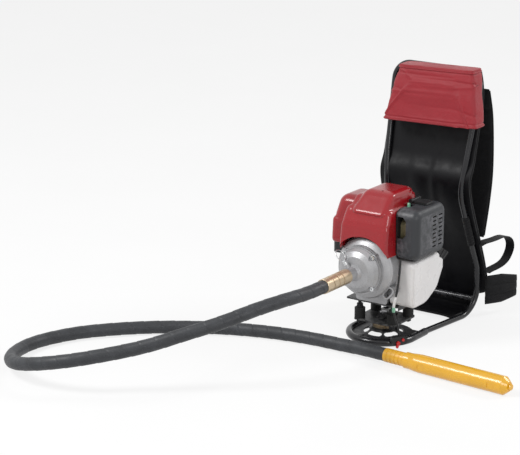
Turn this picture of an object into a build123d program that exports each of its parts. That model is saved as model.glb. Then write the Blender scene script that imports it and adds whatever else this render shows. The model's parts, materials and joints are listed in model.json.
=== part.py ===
"""Petrol backpack concrete vibrator: swivelling engine, carrying frame, flexible shaft and head.

Millimetres, +Z up, +X to the right seen from the engine side, the wearer's side towards +Y.
The origin is on the floor, in the middle of the machine without its hose and head.
"""

import os
from math import cos, pi, radians, sin, tan

from build123d import *

os.makedirs("parts", exist_ok=True)

# ---------------------------------------------------------------- driving dimensions
swivel_y = -87.5            # the turntable's upright axis, from the origin
fit = 0.05                  # running clearance on the radius
gap = 0.4                   # air between pieces that move past each other

loop_radius = 72.0          # bend of the base loop, to the tube's middle
loop_tube = 16.0
loop_bore = 12.9
loop_leg = 52.0             # the loop's legs end this far behind the swivel axis
sheet = 2.0                 # pan and plate metal

post_d = 16.0
pan_boss_z = 22.0           # top of the pan's raised middle
turntable_d = 46.0
turntable_h = 9.9
lower_plate_z = 38.0
plate_t = 4.0
upper_plate_z = 85.0
stud_d = 8.0
damper_d = 23.0
damper_h = 22.0

rail_d = 12.7
rail_bore = 9.5
shell_t = 4.0
pad_t = 20.0
strap_w = 56.0
strap_t = 13.0

crank_z = 170.0             # height of the crankshaft
crank_throw = 15.0
piston_d = 39.0
rod_length = 52.0
cylinder_y = -4.0           # the cylinder's axis, from the swivel axis
case_w = 76.0
case_front = -50.0
case_rear = 42.0
case_top = 198.0
cylinder_top = 312.0
journal_d = 16.0

flange_y = -95.0            # where the clutch cover meets the fan housing
housing_r = 66.0
cover_r = 51.0
cover_face_y = -118.0
boss_y = -150.0
boss_d = 28.0
drum_r = 29.0
drum_shaft_d = 12.0
cover_bolt_r = 47.0

ferrule_d = 31.0
ferrule_end_y = -237.0
hose_d = 28.0
hose_bore = 14.0
core_d = 10.0

head_d = 38.0
head_length = 300.0
head_turn = -4.0            # degrees from +X
collar_length = 84.0
nose_length = 24.0
rotor_d = 20.0
rotor_throw = 3.0

tank_top = 188.0

# ---------------------------------------------------------------- planes, axes and helpers


def at(x, y, z):
    """A point given from the foot of the swivel axis."""
    return Vector(x, swivel_y + y, z)


def level(z, x=0.0, y=0.0):
    """A level plane."""
    return Plane(at(x, y, z))


def facing_front(y, x=0.0, z=0.0):
    """An upright plane whose normal points to the hose side; its own y is up."""
    return Plane(at(x, y, z), x_dir=(1, 0, 0), z_dir=(0, -1, 0))


def facing_right(x, y=0.0, z=0.0):
    """An upright plane whose normal points to +X; its own x runs to the rear and its y up."""
    return Plane(at(x, y, z), x_dir=(0, 1, 0), z_dir=(1, 0, 0))


swivel_axis = Axis(at(0, 0, 0), (0, 0, 1))
crank_axis = Axis(at(0, 0, crank_z), (0, 1, 0))
crank_section = facing_right(0, 0, crank_z)
swivel_section = facing_front(0)
tube_z = loop_tube / 2


def band(x0, x1, y0, y1, corner, mode=Mode.ADD):
    """A rounded rectangle between two x and two y values, on the sketch plane in use."""
    with Locations(((x0 + x1) / 2, (y0 + y1) / 2)):
        RectangleRounded(x1 - x0, y1 - y0, corner, mode=mode)


def outline(*points):
    """A closed polygon on the sketch plane in use."""
    Polygon(*points, align=None)


def ring(plane, outer_r, inner_r, length):
    """A ring from a plane along its normal, in the part in use."""
    with BuildSketch(plane) as section:
        Circle(outer_r)
        Circle(inner_r, mode=Mode.SUBTRACT)
    extrude(section.sketch, amount=length)


def tube(points, radii, outer_d, inner_d=0.0):
    """A tube on straight runs joined by tangent arcs, in the part in use."""
    with BuildLine() as path:
        FilletPolyline(*points, radius=radii)
    with BuildSketch(Plane(path.line @ 0, z_dir=path.line % 0)) as section:
        Circle(outer_d / 2)
        if inner_d:
            Circle(inner_d / 2, mode=Mode.SUBTRACT)
    sweep(section.sketch, path=path.line)


def strip(plane, points, radii, thickness, width):
    """A bent strip of even thickness: its edge drawn on a plane, its width along the normal."""
    with BuildSketch(plane) as edge:
        with BuildLine():
            FilletPolyline(*points, radius=radii)
            offset(amount=thickness / 2, side=Side.BOTH)
        make_face()
    extrude(edge.sketch, amount=width)


def route_radii(points):
    """The largest arc that the two runs at each corner allow."""
    radii = []
    for before, corner, after in zip(points, points[1:], points[2:]):
        run_in = corner - before
        run_out = after - corner
        half_turn = radians(run_in.get_angle(run_out)) / 2
        radii.append(0.45 * min(run_in.length, run_out.length) / tan(half_turn))
    return radii


def finish(piece, name):
    """Label a finished piece and write it."""
    piece.label = name
    export_step(piece, f"parts/{name}.step")


# ---------------------------------------------------------------- base
with BuildPart() as base_loop:
    with BuildLine() as loop_path:
        Line(at(loop_radius, loop_leg, tube_z), at(loop_radius, 0, tube_z))
        ThreePointArc(
            at(loop_radius, 0, tube_z), at(0, -loop_radius, tube_z), at(-loop_radius, 0, tube_z)
        )
        Line(at(-loop_radius, 0, tube_z), at(-loop_radius, loop_leg, tube_z))
    with BuildSketch(Plane(at(loop_radius, loop_leg, tube_z), z_dir=(0, -1, 0))):
        Circle(loop_tube / 2)
        Circle(loop_bore / 2, mode=Mode.SUBTRACT)
    sweep(path=loop_path.line)
finish(base_loop.part, "base_loop")

pan_r = loop_radius - loop_tube / 2 + 0.3
pan_floor = 6.0
skirt_r = pan_r - 3.0
cone_r = 48.0
boss_r = 24.0
lobe_r = 36.0

with BuildPart() as base_pan:
    # flat web inside the loop, square at the rear, open in the middle
    with BuildSketch(level(pan_floor)):
        Circle(pan_r)
        band(-pan_r, pan_r, 0, loop_leg - 4, 1)
        Circle(cone_r - 2, mode=Mode.SUBTRACT)
    extrude(amount=sheet)
    # skirt down to the floor
    ring(level(0), skirt_r, skirt_r - 3 * sheet, pan_floor)
    # middle raised as a cone with a flat top
    with BuildSketch(swivel_section):
        outline(
            (post_d / 2 + 0.1, pan_boss_z),
            (boss_r, pan_boss_z),
            (cone_r, pan_floor + sheet),
            (cone_r, pan_floor),
            (cone_r - 3, pan_floor),
            (boss_r - 1, pan_boss_z - sheet),
            (post_d / 2 + 0.1, pan_boss_z - sheet),
        )
    revolve(axis=swivel_axis)
    # kidney holes through the cone
    with BuildSketch(level(0)):
        for turn in (-150, -90, -30, 42, 138):
            with BuildLine():
                CenterArc((0, 0), lobe_r, turn - 17, 34)
                offset(amount=6, side=Side.BOTH)
            make_face()
    extrude(amount=pan_boss_z, mode=Mode.SUBTRACT)
    # ribs between the holes
    for turn in (-120, -60):
        with BuildSketch(level(pan_floor)):
            with PolarLocations(cone_r + 6, 1, turn):
                Rectangle(14, 4)
        extrude(amount=2 * sheet)
finish(base_pan.part, "base_pan")

turntable_top = pan_boss_z + turntable_h

with BuildPart() as turntable_ring:
    ring(level(pan_boss_z), turntable_d / 2, post_d / 2 + 0.1, turntable_h)
    with BuildSketch(level(pan_boss_z + turntable_h / 2 - 1)):
        Circle(turntable_d / 2)
        Circle(turntable_d / 2 - 1.5, mode=Mode.SUBTRACT)
    extrude(amount=2, mode=Mode.SUBTRACT)
finish(turntable_ring.part, "turntable_ring")

post_head_z = 12.0
plate_top = lower_plate_z + plate_t
post_top = plate_top + 12

with BuildPart() as pivot_post:
    with BuildSketch(level(post_head_z)):
        Circle(boss_r - 5)
    extrude(amount=pan_boss_z - sheet - post_head_z)
    with BuildSketch(level(post_head_z)):
        Circle(post_d / 2)
    extrude(amount=post_top - post_head_z)
    chamfer(pivot_post.faces().sort_by(Axis.Z)[-1].edges(), 1.2)
finish(pivot_post.part, "pivot_post")

with BuildPart() as pivot_nut:
    with BuildSketch(level(plate_top + 0.1)):
        Circle(15)
        Circle(post_d / 2, mode=Mode.SUBTRACT)
    extrude(amount=2)
    with BuildSketch(level(plate_top + 2.1)):
        RegularPolygon(12, 6, major_radius=False)
        Circle(post_d / 2, mode=Mode.SUBTRACT)
    extrude(amount=8)
finish(pivot_nut.part, "pivot_nut")

# ---------------------------------------------------------------- engine plates on rubber
stud_places = [(-40, -31), (40, -31), (-40, 34), (40, 34)]
foot_places = [(-26, -38), (26, -38), (-26, 30), (26, 30)]
plate_x = 50.0
upper_x = 63.0
upper_front = -50.0
upper_rear = 56.0
foot_bolt_d = 6.0

with BuildPart() as lower_plate:
    with BuildSketch(level(lower_plate_z)):
        band(-plate_x, plate_x, -41, 48, 5)
    extrude(amount=plate_t)
    with BuildSketch(level(turntable_top + 0.1)):
        Circle(turntable_d / 2 - 3)
    extrude(amount=lower_plate_z - turntable_top - 0.1)
    with BuildSketch(level(0)):
        Circle(post_d / 2 + fit)
        with Locations(*stud_places):
            Circle(stud_d / 2)
    extrude(amount=plate_top, mode=Mode.SUBTRACT)
finish(lower_plate.part, "lower_plate")

with BuildPart() as dampers:
    for x, y in stud_places:
        ring(level(plate_top, x, y), damper_d / 2, stud_d / 2, damper_h)
        ring(level(plate_top + damper_h, x, y), damper_d / 2 - 4, stud_d / 2, 3)
finish(dampers.part, "dampers")

nut_h = 6.0
stud_low = lower_plate_z - nut_h - 2
damper_top = plate_top + damper_h + 3

with BuildPart() as damper_studs:
    for x, y in stud_places:
        with BuildSketch(level(stud_low, x, y)):
            Circle(stud_d / 2)
        extrude(amount=upper_plate_z - stud_low)
        with BuildSketch(level(lower_plate_z - nut_h, x, y)):
            RegularPolygon(6.5, 6, major_radius=False)
        extrude(amount=nut_h)
        with BuildSketch(level(damper_top, x, y)):
            RegularPolygon(6.5, 6, major_radius=False)
        extrude(amount=nut_h)
        with BuildSketch(level(upper_plate_z - 4, x, y)):
            Circle(9)
        extrude(amount=4)
finish(damper_studs.part, "damper_studs")

with BuildPart() as upper_plate:
    with BuildSketch(level(upper_plate_z)):
        band(-upper_x, upper_x, upper_front, upper_rear, 4)
        with Locations(*foot_places):
            Circle(foot_bolt_d / 2, mode=Mode.SUBTRACT)
    extrude(amount=3)
    # folded edges at the right and the rear
    with BuildSketch(level(upper_plate_z - 7)):
        band(upper_x - 2, upper_x, upper_front + 6, upper_rear - 4, 0.5)
        band(-upper_x + 8, upper_x - 6, upper_rear - 2, upper_rear, 0.5)
    extrude(amount=8)
finish(upper_plate.part, "upper_plate")

plate_surface = upper_plate_z + 3
bolt_reach = 14.0

with BuildPart() as foot_bolts:
    for x, y in foot_places:
        with BuildSketch(level(upper_plate_z, x, y)):
            Circle(foot_bolt_d / 2)
        extrude(amount=3 + bolt_reach)
        with BuildSketch(level(upper_plate_z - 4, x, y)):
            RegularPolygon(5, 6, major_radius=False)
        extrude(amount=4)

# ---------------------------------------------------------------- engine: case, cylinder, crank
web_r = 27.0
bearing_r = 16.0
bearing_w = 10.0
pin_r = 6.0
web_t = 8.0
rod_t = 8.0
rod_front = cylinder_y - rod_t / 2
web_front = rod_front - web_t - 0.5
web_back = cylinder_y + rod_t / 2 + 0.5
chamber_front = case_front + bearing_w
chamber_rear = case_rear - bearing_w
liner_r = piston_d / 2 + 3.5

with BuildPart() as crankcase:
    with BuildSketch(facing_front(case_front)):
        band(-case_w / 2, case_w / 2, plate_surface, case_top, 6)
    extrude(amount=case_front - case_rear)
    # crank chamber and bearing seats
    with BuildSketch(facing_front(chamber_front, 0, crank_z)):
        Circle(web_r + 3)
    extrude(amount=chamber_front - chamber_rear, mode=Mode.SUBTRACT)
    with BuildSketch(facing_front(case_front, 0, crank_z)):
        Circle(bearing_r)
    extrude(amount=case_front - case_rear, mode=Mode.SUBTRACT)
    # way up to the cylinder, and the oil space below
    with BuildSketch(level(crank_z, 0, cylinder_y)):
        Circle(liner_r)
    extrude(amount=case_top - crank_z, mode=Mode.SUBTRACT)
    with BuildSketch(level(plate_surface + bolt_reach + 4, 0, cylinder_y)):
        RectangleRounded(case_w - 16, chamber_rear - chamber_front - 8, 4)
    extrude(amount=28, mode=Mode.SUBTRACT)
    with BuildSketch(level(plate_surface)):
        with Locations(*foot_places):
            Circle(foot_bolt_d / 2)
    extrude(amount=bolt_reach, mode=Mode.SUBTRACT)
finish(crankcase.part, "crankcase")

fin_count = 6
fin_pitch = 11.0
piston_r = piston_d / 2
bore_top = crank_z + crank_throw + rod_length + 18
block_z = bore_top + 6

with BuildPart() as cylinder:
    with BuildSketch(level(case_top, 0, cylinder_y)):
        RectangleRounded(case_w - 6, case_w - 6, 5)
    extrude(amount=5)
    with BuildSketch(level(case_top, 0, cylinder_y)):
        Circle(piston_r + 6)
    extrude(amount=block_z - case_top)
    for i in range(1, fin_count + 1):
        with BuildSketch(level(case_top + i * fin_pitch, 0, cylinder_y)):
            RectangleRounded(case_w - 4, case_w - 4, 8)
        extrude(amount=2.2)
    # head block with its valve cover
    with BuildSketch(level(block_z, 0, cylinder_y)):
        RectangleRounded(case_w - 18, case_w - 24, 8)
    extrude(amount=cylinder_top - block_z)
    with BuildSketch(level(case_top, 0, cylinder_y)):
        Circle(piston_r + fit)
    extrude(amount=bore_top - case_top, mode=Mode.SUBTRACT)
    # exhaust and intake stubs
    for side in (-1, 1):
        with BuildSketch(facing_right(0, cylinder_y, block_z + 12)):
            Circle(10)
        extrude(amount=side * (case_w / 2 + 2))
finish(cylinder.part, "cylinder")

pin_z = crank_z + crank_throw
small_end_z = pin_z + rod_length

with BuildPart() as piston:
    with BuildSketch(level(small_end_z - 12, 0, cylinder_y)):
        Circle(piston_r)
    extrude(amount=26)
    with BuildSketch(level(small_end_z - 12, 0, cylinder_y)):
        Circle(piston_r - 3)
    extrude(amount=21, mode=Mode.SUBTRACT)
    for ring_z in (small_end_z + 6, small_end_z + 10):
        with BuildSketch(level(ring_z, 0, cylinder_y)):
            Circle(piston_r + 1)
            Circle(piston_r - 1.2, mode=Mode.SUBTRACT)
        extrude(amount=1.5, mode=Mode.SUBTRACT)
    # wrist pin, fixed across the skirt
    with BuildSketch(facing_front(cylinder_y, 0, small_end_z)):
        Circle(4)
    extrude(amount=piston_r - 1.5, both=True)
finish(piston.part, "piston")

with BuildPart() as con_rod:
    ring(facing_front(rod_front, 0, pin_z), 10.5, pin_r + fit, -rod_t)
    ring(facing_front(rod_front, 0, small_end_z), 7, 4 + fit, -rod_t)
    with BuildSketch(facing_front(rod_front + 1.5, 0, (pin_z + small_end_z) / 2)):
        Rectangle(8, rod_length - 16)
    extrude(amount=-(rod_t - 3))
finish(con_rod.part, "con_rod")

clutch_front = -109.0
crank_rear = 70.0
journal_r = journal_d / 2

with BuildPart() as crankshaft:
    with BuildSketch(facing_front(clutch_front, 0, crank_z)):
        Circle(journal_r)
    extrude(amount=clutch_front - (web_front + web_t / 2))
    with BuildSketch(facing_front(web_back + web_t / 2, 0, crank_z)):
        Circle(journal_r)
    extrude(amount=web_back + web_t / 2 - crank_rear)
    for web_y in (web_front, web_back):
        with BuildSketch(facing_front(web_y, 0, crank_z)):
            Circle(web_r)
        extrude(amount=-web_t)
    with BuildSketch(facing_front(web_front, 0, pin_z)):
        Circle(pin_r)
    extrude(amount=web_front - web_back)
finish(crankshaft.part, "crankshaft")

fan_hub_r = 14.0
fan_r = 57.0
fan_back = -58.0
fan_plate = 5.0
blade_h = 15.0
blade_count = 14

with BuildPart() as flywheel_fan:
    ring(facing_front(fan_back, 0, crank_z), fan_r, journal_r, fan_plate)
    ring(facing_front(fan_back, 0, crank_z), fan_hub_r, journal_r, fan_plate + blade_h)
    with BuildSketch(facing_front(fan_back - fan_plate, 0, crank_z)):
        with PolarLocations((fan_r + fan_hub_r + 12) / 2, blade_count):
            Rectangle(fan_r - fan_hub_r - 16, 2.4, rotation=18)
    extrude(amount=blade_h)
finish(flywheel_fan.part, "flywheel_fan")

shoe_r = 24.5
shoe_front = -108.0
shoe_w = 10.0

with BuildPart() as clutch_shoes:
    ring(facing_front(shoe_front + shoe_w, 0, crank_z), shoe_r, journal_r + 4.2, shoe_w)
    with BuildSketch(facing_front(shoe_front + shoe_w, 0, crank_z)):
        Rectangle(2 * shoe_r + 2, 4)
    extrude(amount=shoe_w, mode=Mode.SUBTRACT)
    # carrier between the two shoes
    ring(facing_front(shoe_front + shoe_w, 0, crank_z), journal_r + 4, journal_r, shoe_w)
finish(clutch_shoes.part, "clutch_shoes")

drum_back = -97.0
drum_front = -114.0

with BuildPart() as clutch_drum:
    ring(facing_front(drum_back, 0, crank_z), drum_r, drum_r - 3, drum_back - drum_front)
    with BuildSketch(facing_front(drum_front + 3, 0, crank_z)):
        Circle(drum_r)
    extrude(amount=3)
    with BuildSketch(facing_front(drum_front, 0, crank_z)):
        Circle(drum_shaft_d / 2)
    extrude(amount=drum_front - boss_y - 1)
finish(clutch_drum.part, "clutch_drum")

# ---------------------------------------------------------------- fan housing and clutch cover
housing_back = case_front - 2
housing_wall = 3.0
ear_r = 7.0
cover_bolt_turns = (45, 135, 225, 315)
clutch_hole_r = drum_r + 6
window_r = housing_r + 6
window_turn = -40

with BuildPart() as fan_housing:
    with BuildSketch(facing_front(flange_y + 6, 0, crank_z)):
        Circle(cover_r + 1)
        with PolarLocations(cover_bolt_r, 4, 45):
            Circle(ear_r)
    extrude(amount=6)
    with BuildSketch(crank_section):
        outline(
            (flange_y + 5, 0),
            (flange_y + 5, cover_r - 2),
            (flange_y + 14, housing_r - 3),
            (flange_y + 20, housing_r),
            (housing_back, housing_r),
            (housing_back, 0),
        )
    revolve(axis=crank_axis)
    # oblong window at the lower right, with its raised rim
    with BuildSketch(facing_front(housing_back, 0, crank_z)):
        with PolarLocations(window_r, 1, window_turn):
            SlotOverall(32, 18, rotation=90)
    extrude(amount=housing_back - flange_y - 20)
    # room for the fan, and the way forward to the clutch
    with BuildSketch(crank_section):
        outline(
            (flange_y + 8, 0),
            (flange_y + 8, cover_r - 6),
            (flange_y + 16, housing_r - housing_wall - 2),
            (housing_back, housing_r - housing_wall),
            (housing_back, 0),
        )
    revolve(axis=crank_axis, mode=Mode.SUBTRACT)
    with BuildSketch(facing_front(flange_y + 20, 0, crank_z)):
        Circle(clutch_hole_r)
    extrude(amount=30, mode=Mode.SUBTRACT)
    # the window's opening, and the tapped holes for the cover
    with BuildSketch(facing_front(housing_back - 6, 0, crank_z)):
        with PolarLocations(window_r, 1, window_turn):
            SlotOverall(25, 11, rotation=90)
    extrude(amount=housing_back - flange_y, mode=Mode.SUBTRACT)
    with BuildSketch(facing_front(flange_y + 8, 0, crank_z)):
        with PolarLocations(cover_bolt_r, 4, 45):
            Circle(2.5)
    extrude(amount=10, mode=Mode.SUBTRACT)
finish(fan_housing.part, "fan_housing")

boss_r_outer = boss_d / 2
# pull plane: on the shaft's axis, its normal up and to the left
pull_plane = Plane(at(0, -128, crank_z), x_dir=(0, -1, 0), z_dir=(-0.64, 0, 0.77))
pin_d = 5.0
pin_socket = 21.0           # the socket's mouth, from the shaft's axis
eye_reach = 7.0
eye_out = pin_socket + 10.5
ring_r = 13.0
ring_wire = 1.1
seat_r = 10.5
seat_back = -140.0
seat_w = 10.0

with BuildPart() as clutch_cover:
    with BuildSketch(facing_front(flange_y, 0, crank_z)):
        Circle(cover_r)
        with PolarLocations(cover_bolt_r, 4, 45):
            Circle(ear_r)
    extrude(amount=5)
    with BuildSketch(crank_section):
        outline(
            (flange_y, 0),
            (flange_y, cover_r - 2),
            (flange_y - 7, cover_r - 3),
            (flange_y - 16, cover_r - 8),
            (cover_face_y, cover_r - 18),
            (cover_face_y - 3, boss_r_outer + 4),
            (cover_face_y - 10, boss_r_outer),
            (boss_y, boss_r_outer),
            (boss_y, 0),
        )
    revolve(axis=crank_axis)
    with BuildSketch(crank_section):
        outline(
            (flange_y, 0),
            (flange_y, cover_r - 6),
            (flange_y - 12, cover_r - 11),
            (cover_face_y + 3, cover_r - 19),
            (cover_face_y + 3, 0),
        )
    revolve(axis=crank_axis, mode=Mode.SUBTRACT)
    with BuildSketch(facing_front(cover_face_y + 4, 0, crank_z)):
        Circle(seat_r)
    extrude(amount=cover_face_y + 4 - boss_y, mode=Mode.SUBTRACT)
    # socket of the detent pin
    with BuildSketch(pull_plane.offset(seat_r + 1)):
        Circle(6)
    extrude(amount=pin_socket - seat_r - 1)
    with BuildSketch(pull_plane.offset(boss_r_outer - 1)):
        Circle(pin_d / 2 + fit)
    extrude(amount=pin_socket, mode=Mode.SUBTRACT)
    with BuildSketch(facing_front(flange_y, 0, crank_z)):
        with PolarLocations(cover_bolt_r, 4, 45):
            Circle(2.5)
    extrude(amount=10, mode=Mode.SUBTRACT)
    with BuildSketch(facing_front(flange_y - 5, 0, crank_z)):
        with PolarLocations(cover_bolt_r, 4, 45):
            Circle(5.6)
    extrude(amount=20, mode=Mode.SUBTRACT)
finish(clutch_cover.part, "clutch_cover")

with BuildPart() as cover_bolts:
    for turn in cover_bolt_turns:
        x = cover_bolt_r * cos(radians(turn))
        z = crank_z + cover_bolt_r * sin(radians(turn))
        with BuildSketch(facing_front(flange_y + 6, x, z)):
            Circle(2.5)
        extrude(amount=11)
        with BuildSketch(facing_front(flange_y - 5, x, z)):
            Circle(5)
            RegularPolygon(2.3, 6, mode=Mode.SUBTRACT)
        extrude(amount=5)
        with BuildSketch(facing_front(flange_y - 5, x, z)):
            Circle(5)
        extrude(amount=2)
finish(Compound(children=[*foot_bolts.part.solids(), *cover_bolts.part.solids()]), "engine_bolts")

with BuildPart() as bearings:
    for bearing_y in (case_front, chamber_rear):
        ring(facing_front(bearing_y + bearing_w, 0, crank_z), bearing_r, journal_r + fit, bearing_w)
    ring(facing_front(seat_back + seat_w, 0, crank_z), seat_r, drum_shaft_d / 2 + fit, seat_w)
finish(bearings.part, "bearings")

# detent pin that locks the shaft coupling, with a split ring to pull it by
with BuildPart() as detent_pin:
    with BuildSketch(pull_plane.offset(boss_r_outer - 1)):
        Circle(pin_d / 2)
    extrude(amount=pin_socket - boss_r_outer + 2)
    with BuildSketch(pull_plane.offset(pin_socket + 0.2)):
        Circle(4.5)
    extrude(amount=6)
    with BuildSketch(pull_plane.offset(pin_socket + 6.2)):
        Rectangle(3, 7)
    extrude(amount=eye_reach)
    with BuildSketch(Plane(pull_plane.offset(eye_out).origin, z_dir=(0, 1, 0))):
        Circle(ring_wire + 0.1)
    extrude(amount=4, both=True, mode=Mode.SUBTRACT)
finish(detent_pin.part, "detent_pin")

ring_centre = pull_plane.offset(eye_out + ring_r).origin

with BuildPart() as detent_ring:
    with Locations(Plane(ring_centre, x_dir=(0, 1, 0), z_dir=pull_plane.y_dir)):
        Torus(ring_r, ring_wire)
finish(detent_ring.part, "detent_ring")

# ---------------------------------------------------------------- recoil starter
starter_r = 56.0
starter_front = case_rear + 0.5
starter_back = 74.0
starter_wall = 2.5
reel_front = 52.0
reel_back = 66.0
rope_r = 40.0
rope_d = 4.0
rope_y = (reel_front + reel_back) / 2
rope_z = crank_z + rope_r
rope_exit = -58.0
grip_x = -66.0

with BuildPart() as starter_housing:
    with BuildSketch(facing_front(starter_front, 0, crank_z)):
        Circle(starter_r)
    extrude(amount=starter_front - starter_back)
    fillet(starter_housing.edges().sort_by(Axis.Y)[-1], 6)
    with BuildSketch(facing_front(starter_front, 0, crank_z)):
        Circle(starter_r - starter_wall)
    extrude(amount=starter_front - starter_back + starter_wall, mode=Mode.SUBTRACT)
    # rope eye, and cooling slots in the rear face
    with BuildSketch(facing_right(-20, rope_y, rope_z)):
        Circle(6)
    extrude(amount=rope_exit + 20)
    with BuildSketch(facing_right(-10, rope_y, rope_z)):
        Circle(rope_d / 2 + gap)
    extrude(amount=rope_exit, mode=Mode.SUBTRACT)
    with BuildSketch(facing_front(starter_front, 0, crank_z)):
        Circle(starter_r - starter_wall)
    extrude(amount=starter_front - reel_back - 1, mode=Mode.SUBTRACT)
    with BuildSketch(facing_front(starter_back - 5, 0, crank_z)):
        with PolarLocations(30, 8):
            SlotOverall(26, 5)
    extrude(amount=-10, mode=Mode.SUBTRACT)
finish(starter_housing.part, "starter_housing")

with BuildPart() as starter_reel:
    ring(facing_front(reel_front, 0, crank_z), rope_r - rope_d, journal_r + fit, reel_front - reel_back)
    for flange in (reel_front, reel_back - 2):
        ring(facing_front(flange, 0, crank_z), rope_r + 6, journal_r + fit, -2)
finish(starter_reel.part, "starter_reel")

with BuildPart() as starter_rope:
    with BuildSketch(facing_right(grip_x, rope_y, rope_z)):
        Circle(rope_d / 2)
    extrude(amount=-grip_x - 8)
finish(starter_rope.part, "starter_rope")

with BuildPart() as starter_grip:
    with BuildSketch(level(rope_z - 20, grip_x - 7, rope_y)):
        RectangleRounded(14, 12, 5)
    extrude(amount=40)
    with BuildSketch(facing_right(grip_x - 4, rope_y, rope_z)):
        Circle(7)
    extrude(amount=4)
finish(starter_grip.part, "starter_grip")

# ---------------------------------------------------------------- covers round the engine
cover_z = 200.0
cover_top = 331.0
skin = 2.5
# heights with the outer faces there: z, left, right, front, rear, corner
main_sections = [
    (cover_z, -58, 60, -96, 47, 14),
    (262, -57, 60, -92, 47, 18),
    (290, -54, 59, -84, 46, 20),
    (312, -47, 57, -70, 43, 22),
    (325, -36, 52, -54, 38, 20),
    (cover_top, -26, 44, -40, 32, 16),
]
side_sections = [
    (cover_z + 7, -101, -50, -60, 45, 16),
    (255, -99, -48, -57, 45, 20),
    (286, -92, -44, -50, 43, 22),
    (303, -82, -40, -40, 38, 20),
    (311, -70, -36, -28, 30, 14),
]


def casing(sections, inset, mode):
    """A body lofted through level sections, each drawn in by the inset."""
    rings = []
    for z, left, right, front, rear, corner in sections:
        if inset and z == sections[0][0]:
            z -= 1
        if z == sections[-1][0]:
            z -= inset
        with BuildSketch(level(z)) as section:
            band(left + inset, right - inset, front + inset, rear - inset, corner - inset)
        rings.append(section.sketch.face())
    loft(rings, ruled=True, mode=mode)


with BuildPart() as top_cover:
    casing(main_sections, 0, Mode.ADD)
    casing(side_sections, 0, Mode.ADD)
    casing(main_sections, skin, Mode.SUBTRACT)
    casing(side_sections, skin, Mode.SUBTRACT)
    # arches over the clutch cover and the fan housing
    with BuildSketch(facing_front(flange_y + 10, 0, crank_z)):
        Circle(cover_r + ear_r)
    extrude(amount=30, mode=Mode.SUBTRACT)
    with BuildSketch(facing_front(housing_back + 1, 0, crank_z)):
        Circle(housing_r + gap)
    extrude(amount=housing_back - flange_y - 8, mode=Mode.SUBTRACT)
    # cooling slots near the air cleaner, and the rear's opening for the starter
    with BuildSketch(level(cover_top + 5, 40, -20)):
        with GridLocations(0, 11, 1, 2):
            SlotOverall(18, 6, rotation=20)
    extrude(amount=-30, mode=Mode.SUBTRACT)
    with BuildSketch(facing_front(60, 0, crank_z)):
        Circle(starter_r + gap)
    extrude(amount=30, mode=Mode.SUBTRACT)
    # way through to the carburettor
    with BuildSketch(facing_right(45, cylinder_y, block_z + 12)):
        Rectangle(44, 60)
    extrude(amount=30, mode=Mode.SUBTRACT)
finish(top_cover.part, "top_cover")

muffler_z = block_z + 12

with BuildPart() as muffler:
    with BuildSketch(level(224, -73, cylinder_y)):
        RectangleRounded(34, 62, 10)
    extrude(amount=62)
    fillet(muffler.edges().group_by(Axis.Z)[-1], 5)
    with BuildSketch(level(227, -73, cylinder_y)):
        RectangleRounded(28, 56, 7)
    extrude(amount=55, mode=Mode.SUBTRACT)
    with BuildSketch(facing_right(-58, cylinder_y, muffler_z)):
        Circle(10)
    extrude(amount=58 - case_w / 2 - 2)
finish(muffler.part, "muffler")

with BuildPart() as muffler_guard:
    with BuildSketch(level(182)):
        band(-100, -60, -50, 43, 12)
        with Locations((-80, -3)):
            Rectangle(24, 60, mode=Mode.SUBTRACT)
    extrude(amount=3)
    with BuildSketch(level(185)):
        band(-100, -60, -50, 43, 12)
    with BuildSketch(level(185)) as inner:
        band(-97, -63, -47, 40, 9)
    extrude(amount=cover_z + 7 - 185)
    extrude(inner.sketch, amount=cover_z + 7 - 185, mode=Mode.SUBTRACT)
finish(muffler_guard.part, "muffler_guard")

plug_z = 284.0
plug_y = cylinder_y - (case_w - 16) / 2

with BuildPart() as spark_plug:
    with BuildSketch(facing_front(plug_y, -14, plug_z)):
        RegularPolygon(8, 6, major_radius=False)
    extrude(amount=7)
    with BuildSketch(facing_front(plug_y - 7, -14, plug_z)):
        Circle(5.5)
    extrude(amount=12)
    with BuildSketch(facing_front(plug_y - 19, -14, plug_z)):
        Circle(3)
    extrude(amount=8)
finish(spark_plug.part, "spark_plug")

base_x = 60.5
base_t = 3.5
throat_d = 14.0

with BuildPart() as carburettor:
    with BuildSketch(facing_right(case_w / 2 + 2, cylinder_y, muffler_z)):
        RectangleRounded(34, 30, 4)
    extrude(amount=base_x - case_w / 2 - 2)
    with BuildSketch(facing_right(case_w / 2 + 2, cylinder_y, muffler_z)):
        Circle(throat_d / 2)
    extrude(amount=base_x, mode=Mode.SUBTRACT)
    with BuildSketch(level(muffler_z - 27, case_w / 2 + 11, cylinder_y)):
        Circle(8)
    extrude(amount=13)
finish(carburettor.part, "carburettor")

air_front = -58.0
air_rear = 62.0
air_low = 193.0
air_high = 301.0
air_far = 112.0
air_skin = 2.5
cover_x = base_x + base_t + 0.2
choke_y = -16.0
choke_z = 288.0
latch_pin_x = 62.0
latch_pin_z = 306.5
latch_y = 14.0
latch_w = 26.0


def air_shape(inset, corner):
    """The air cleaner's outline seen from the right."""
    band(air_front + inset, air_rear - inset, air_low + inset, air_high - inset, corner)


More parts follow.
